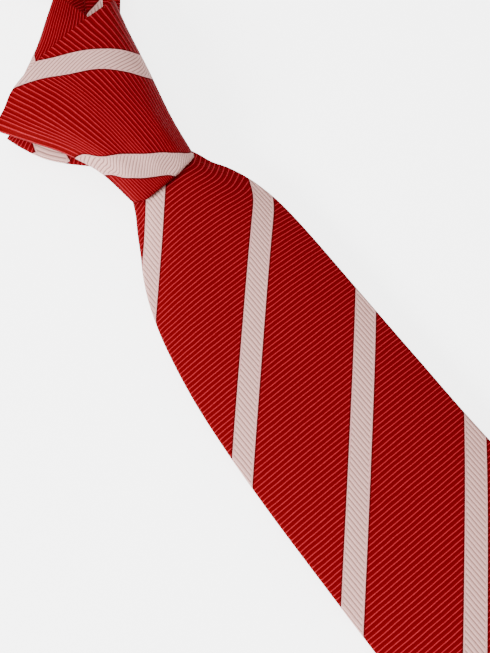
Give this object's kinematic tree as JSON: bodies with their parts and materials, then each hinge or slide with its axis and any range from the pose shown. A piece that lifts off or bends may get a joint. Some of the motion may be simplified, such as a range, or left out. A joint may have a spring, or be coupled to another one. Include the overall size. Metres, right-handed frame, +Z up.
{
  "type": "necktie",
  "caption": "Pre-tied ribbed silk club-stripe necktie with a four-in-hand knot, lying face up, with neck loop, lined blade and tail through a keeper.",
  "frame": {"origin": "on the surface that the tie lies on, below the middle of its bounding box", "axes": "+X across the tie to the wearer's left, +Y from the blade's tip to the neck loop, +Z up, out of the front of the tie"},
  "size_m": [0.1237, 0.6744, 0.034],
  "materials": {
    "silk": "corded silk, red ground with white diagonal stripes, low sheen",
    "interlining": "brushed wool blend, matt",
    "tipping": "plain acetate lining, satin",
    "thread": "silk thread, low sheen",
    "label": "plain woven label, blank"
  },
  "bodies": {
    "knot": {"front_wrap": "silk", "back_wrap": "silk", "tail_pass": "silk", "inner_wrap": "silk", "blade_pass": "silk", "knot_interlining": "interlining", "over_pass": "silk", "neck_left_root": "silk", "neck_right_root": "silk"},
    "neck_base": {"neck_left_leg": "silk", "neck_left_interlining": "interlining", "neck_right_leg": "silk", "neck_right_interlining": "interlining"},
    "neck_arc": {"neck_back_band": "silk", "neck_back_interlining": "interlining", "neck_seam_left": "silk", "neck_seam_right": "silk"},
    "blade": {"blade_shell": "silk", "blade_interlining": "interlining", "blade_tipping": "tipping", "blade_slip_stitch": "thread", "blade_bar_tack": "thread", "keeper_loop": "silk", "keeper_stitches": "thread", "name_label": "label", "label_stitches": "thread"},
    "tail": {"tail_shell": "silk", "tail_interlining": "interlining", "tail_tipping": "tipping", "tail_slip_stitch": "thread", "tail_bar_tack": "thread"}
  },
  "joints": [
    {"name": "blade_lift", "type": "hinge", "parent": "knot", "child": "blade", "pos_m": [0, 0.11685, 0.017], "axis": [-1, 0, 0], "range_deg": [0, 100]},
    {"name": "tail_slide", "type": "slide", "parent": "blade", "child": "tail", "axis": [0, -1, 0], "range_m": [0, 0.04]},
    {"name": "loop_tilt", "type": "hinge", "parent": "knot", "child": "neck_base", "pos_m": [0, 0.19785, 0.0125], "axis": [1, 0, 0], "range_deg": [0, 75]},
    {"name": "loop_cinch", "type": "slide", "parent": "neck_base", "child": "neck_arc", "axis": [0, -1, 0], "range_m": [0, 0.02], "deforming": ["neck_left_leg", "neck_right_leg", "neck_left_interlining", "neck_right_interlining"]}
  ],
  "couplings": [
    {"joint": "loop_cinch", "follows": "tail_slide", "ratio": 0.5}
  ]
}
